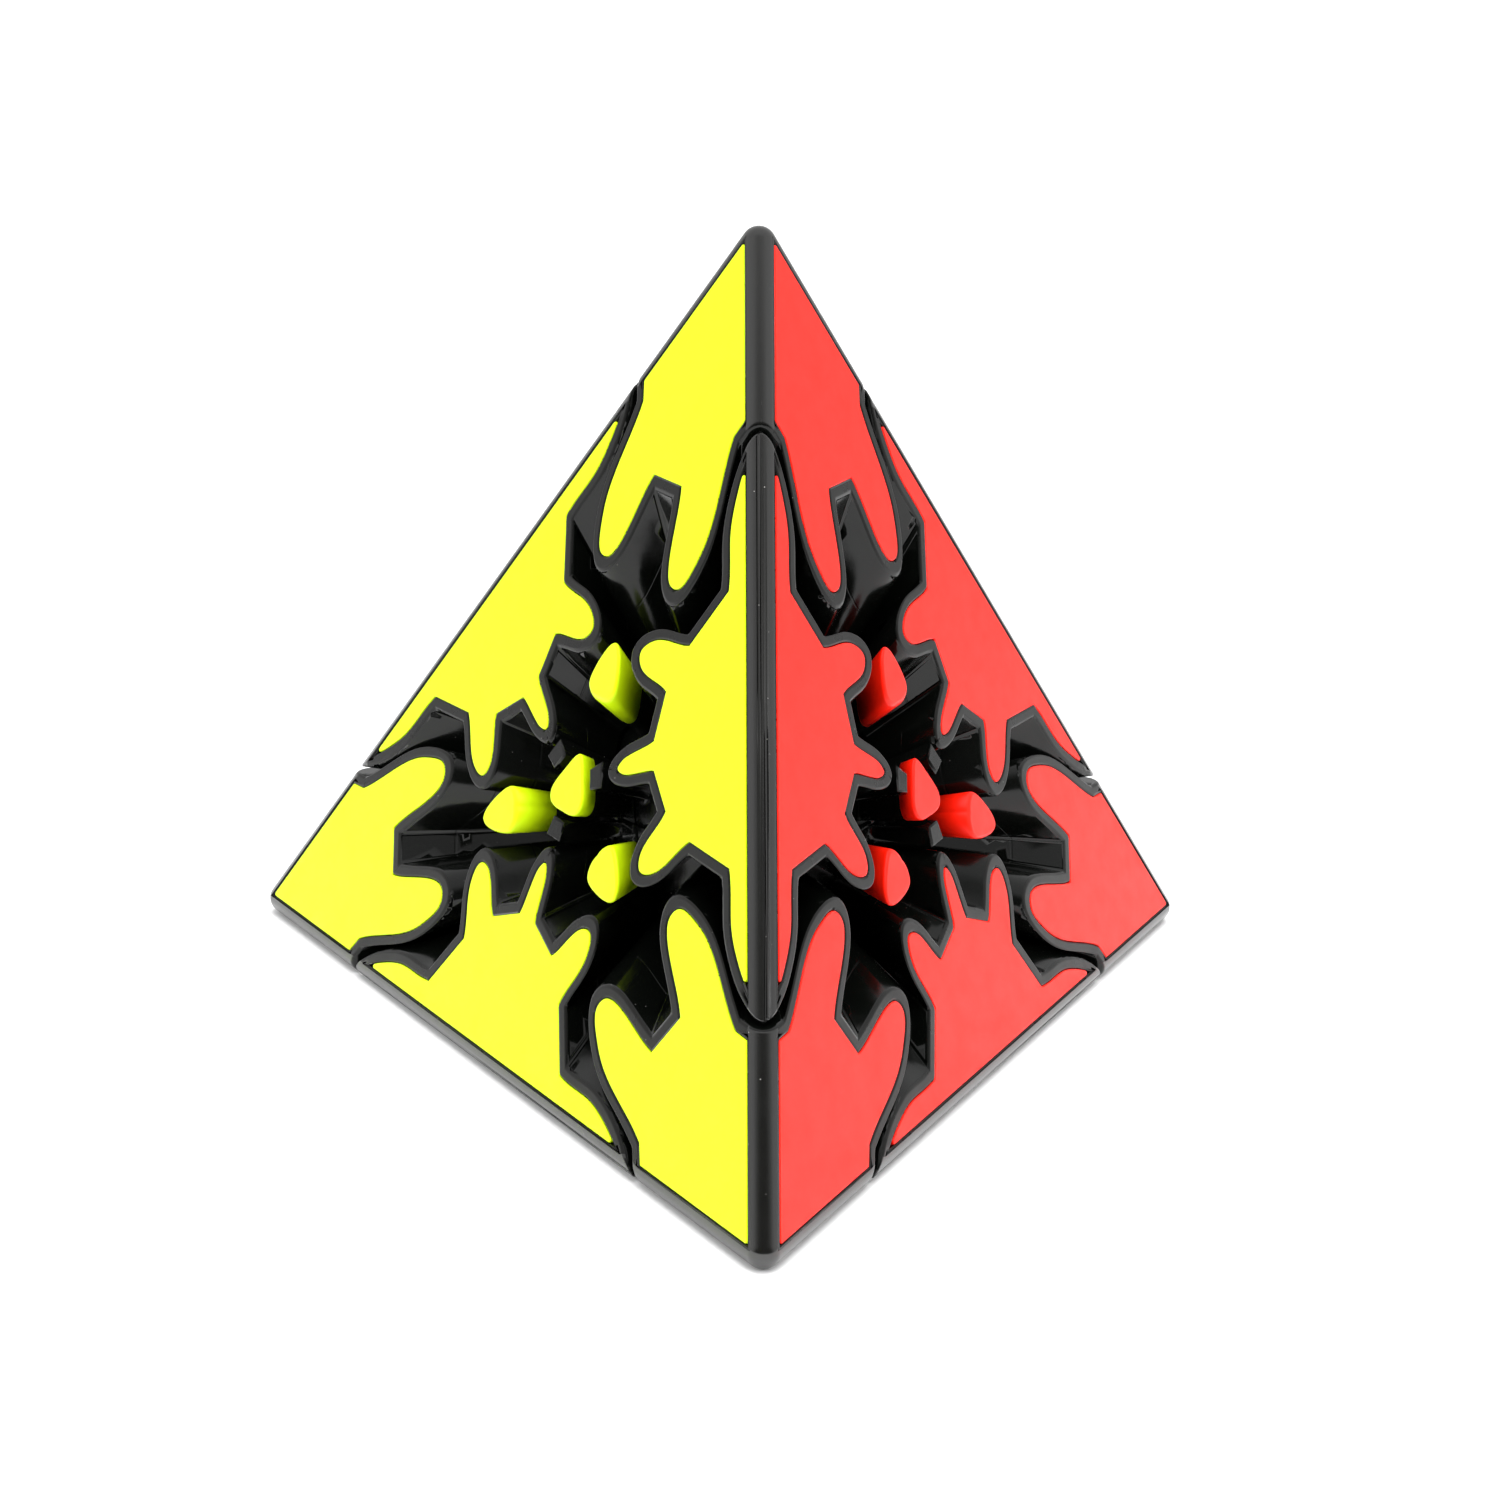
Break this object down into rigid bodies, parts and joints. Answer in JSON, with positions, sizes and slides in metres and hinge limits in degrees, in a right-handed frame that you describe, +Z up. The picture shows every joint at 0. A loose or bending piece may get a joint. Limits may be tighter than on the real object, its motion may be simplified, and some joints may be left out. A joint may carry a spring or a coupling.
{
  "type": "pyramid twisty puzzle",
  "caption": "Pyramid twisty puzzle whose corner and edge pieces are meshing bevel gears with coloured tiles, on a sprung core with a turning layer.",
  "frame": {"origin": "middle of the core, where all turning axes cross; the rest face lies 20.0 mm below it", "axes": "+Z up through the top corner, -Y towards the near lower corner and the near upright edge, +X along the back lower edge, to the right seen from the front"},
  "size_m": [0.0934, 0.0812, 0.0768],
  "materials": {
    "yellow_plastic": "smooth satin",
    "red_plastic": "smooth satin",
    "blue_plastic": "smooth satin",
    "green_plastic": "smooth satin",
    "black_gear_plastic": "satin",
    "black_inner_plastic": "glossy",
    "screw_steel": "zinc plated",
    "spring_steel": "bright drawn wire"
  },
  "bodies": {
    "base": {"core": "black_inner_plastic", "corner_screws": "screw_steel", "springs_lower": "spring_steel", "tripods_lower": "black_inner_plastic", "carriers_lower": "black_inner_plastic", "axles_lower": "black_inner_plastic", "centre_base_lower": "black_inner_plastic", "centre_green": "green_plastic", "posts_lower_yellow": "yellow_plastic", "posts_lower_red": "red_plastic", "posts_lower_blue": "blue_plastic", "posts_lower_green": "green_plastic"},
    "layer": {"tripod_top": "black_inner_plastic", "carriers_upper": "black_inner_plastic", "centre_bases_upper": "black_inner_plastic", "centre_yellow": "yellow_plastic", "centre_red": "red_plastic", "centre_blue": "blue_plastic", "post_upper_yellow": "yellow_plastic", "post_upper_red": "red_plastic", "post_upper_blue": "blue_plastic"},
    "top_spring": {"spring_top": "spring_steel"},
    "gear_left_right": {"edge_gear_left_right": "black_gear_plastic", "edge_tile_left_right_blue": "blue_plastic", "edge_tile_left_right_green": "green_plastic"},
    "gear_front_left": {"edge_gear_front_left": "black_gear_plastic", "edge_tile_front_left_green": "green_plastic", "edge_tile_front_left_yellow": "yellow_plastic"},
    "gear_front_right": {"edge_gear_front_right": "black_gear_plastic", "edge_tile_front_right_green": "green_plastic", "edge_tile_front_right_red": "red_plastic"},
    "axle_top_front": {"axle_top_front": "black_inner_plastic"},
    "gear_top_front": {"edge_gear_top_front": "black_gear_plastic", "edge_tile_top_front_red": "red_plastic", "edge_tile_top_front_yellow": "yellow_plastic"},
    "axle_top_left": {"axle_top_left": "black_inner_plastic"},
    "gear_top_left": {"edge_gear_top_left": "black_gear_plastic", "edge_tile_top_left_blue": "blue_plastic", "edge_tile_top_left_yellow": "yellow_plastic"},
    "axle_top_right": {"axle_top_right": "black_inner_plastic"},
    "gear_top_right": {"edge_gear_top_right": "black_gear_plastic", "edge_tile_top_right_blue": "blue_plastic", "edge_tile_top_right_red": "red_plastic"},
    "corner_front": {"corner_gear_front": "black_gear_plastic", "corner_tile_front_green": "green_plastic", "corner_tile_front_red": "red_plastic", "corner_tile_front_yellow": "yellow_plastic"},
    "corner_left": {"corner_gear_left": "black_gear_plastic", "corner_tile_left_blue": "blue_plastic", "corner_tile_left_green": "green_plastic", "corner_tile_left_yellow": "yellow_plastic"},
    "corner_right": {"corner_gear_right": "black_gear_plastic", "corner_tile_right_blue": "blue_plastic", "corner_tile_right_green": "green_plastic", "corner_tile_right_red": "red_plastic"},
    "corner_top": {"corner_gear_top": "black_gear_plastic", "corner_tile_top_blue": "blue_plastic", "corner_tile_top_red": "red_plastic", "corner_tile_top_yellow": "yellow_plastic"}
  },
  "joints": [
    {"name": "layer_turn", "type": "hinge", "parent": "base", "child": "layer", "pos_m": [0, 0, 0], "axis": [0, 0, 1], "continuous": true},
    {"name": "top_spring_spin", "type": "hinge", "parent": "layer", "child": "top_spring", "pos_m": [0, 0, 0], "axis": [0, 0, 1], "continuous": true},
    {"name": "left_right_gear_spin", "type": "hinge", "parent": "base", "child": "gear_left_right", "pos_m": [0, 0, 0], "axis": [0, 0.8165, -0.5774], "continuous": true},
    {"name": "front_left_gear_spin", "type": "hinge", "parent": "base", "child": "gear_front_left", "pos_m": [0, 0, 0], "axis": [-0.7071, -0.4082, -0.5774], "continuous": true},
    {"name": "front_right_gear_spin", "type": "hinge", "parent": "base", "child": "gear_front_right", "pos_m": [0, 0, 0], "axis": [0.7071, -0.4082, -0.5774], "continuous": true},
    {"name": "top_front_axle_spin", "type": "hinge", "parent": "layer", "child": "axle_top_front", "pos_m": [0, 0, 0], "axis": [0, -0.8165, 0.5774], "continuous": true},
    {"name": "top_front_gear_spin", "type": "hinge", "parent": "axle_top_front", "child": "gear_top_front", "pos_m": [0, 0, 0], "axis": [0, -0.8165, 0.5774], "continuous": true},
    {"name": "top_left_axle_spin", "type": "hinge", "parent": "layer", "child": "axle_top_left", "pos_m": [0, 0, 0], "axis": [-0.7071, 0.4082, 0.5774], "continuous": true},
    {"name": "top_left_gear_spin", "type": "hinge", "parent": "axle_top_left", "child": "gear_top_left", "pos_m": [0, 0, 0], "axis": [-0.7071, 0.4082, 0.5774], "continuous": true},
    {"name": "top_right_axle_spin", "type": "hinge", "parent": "layer", "child": "axle_top_right", "pos_m": [0, 0, 0], "axis": [0.7071, 0.4082, 0.5774], "continuous": true},
    {"name": "top_right_gear_spin", "type": "hinge", "parent": "axle_top_right", "child": "gear_top_right", "pos_m": [0, 0, 0], "axis": [0.7071, 0.4082, 0.5774], "continuous": true},
    {"name": "front_corner_spin", "type": "hinge", "parent": "base", "child": "corner_front", "pos_m": [0, 0, 0], "axis": [0, -0.9428, -0.3333], "continuous": true},
    {"name": "left_corner_spin", "type": "hinge", "parent": "base", "child": "corner_left", "pos_m": [0, 0, 0], "axis": [-0.8165, 0.4714, -0.3333], "continuous": true},
    {"name": "right_corner_spin", "type": "hinge", "parent": "base", "child": "corner_right", "pos_m": [0, 0, 0], "axis": [0.8165, 0.4714, -0.3333], "continuous": true},
    {"name": "top_corner_spin", "type": "hinge", "parent": "top_spring", "child": "corner_top", "pos_m": [0, 0, 0], "axis": [0, 0, 1], "continuous": true}
  ],
  "couplings": [
    {"joint": "top_spring_spin", "follows": "layer_turn", "ratio": 2.5},
    {"joint": "front_left_gear_spin", "follows": "left_right_gear_spin", "ratio": 1},
    {"joint": "front_right_gear_spin", "follows": "left_right_gear_spin", "ratio": 1},
    {"joint": "top_front_axle_spin", "follows": "layer_turn", "ratio": -1.875},
    {"joint": "top_front_gear_spin", "follows": "left_right_gear_spin", "ratio": 1},
    {"joint": "top_left_axle_spin", "follows": "layer_turn", "ratio": -1.875},
    {"joint": "top_left_gear_spin", "follows": "left_right_gear_spin", "ratio": 1},
    {"joint": "top_right_axle_spin", "follows": "layer_turn", "ratio": -1.875},
    {"joint": "top_right_gear_spin", "follows": "left_right_gear_spin", "ratio": 1},
    {"joint": "front_corner_spin", "follows": "left_right_gear_spin", "ratio": -1.3333},
    {"joint": "left_corner_spin", "follows": "left_right_gear_spin", "ratio": -1.3333},
    {"joint": "right_corner_spin", "follows": "left_right_gear_spin", "ratio": -1.3333},
    {"joint": "top_corner_spin", "follows": "left_right_gear_spin", "ratio": -1.3333}
  ]
}
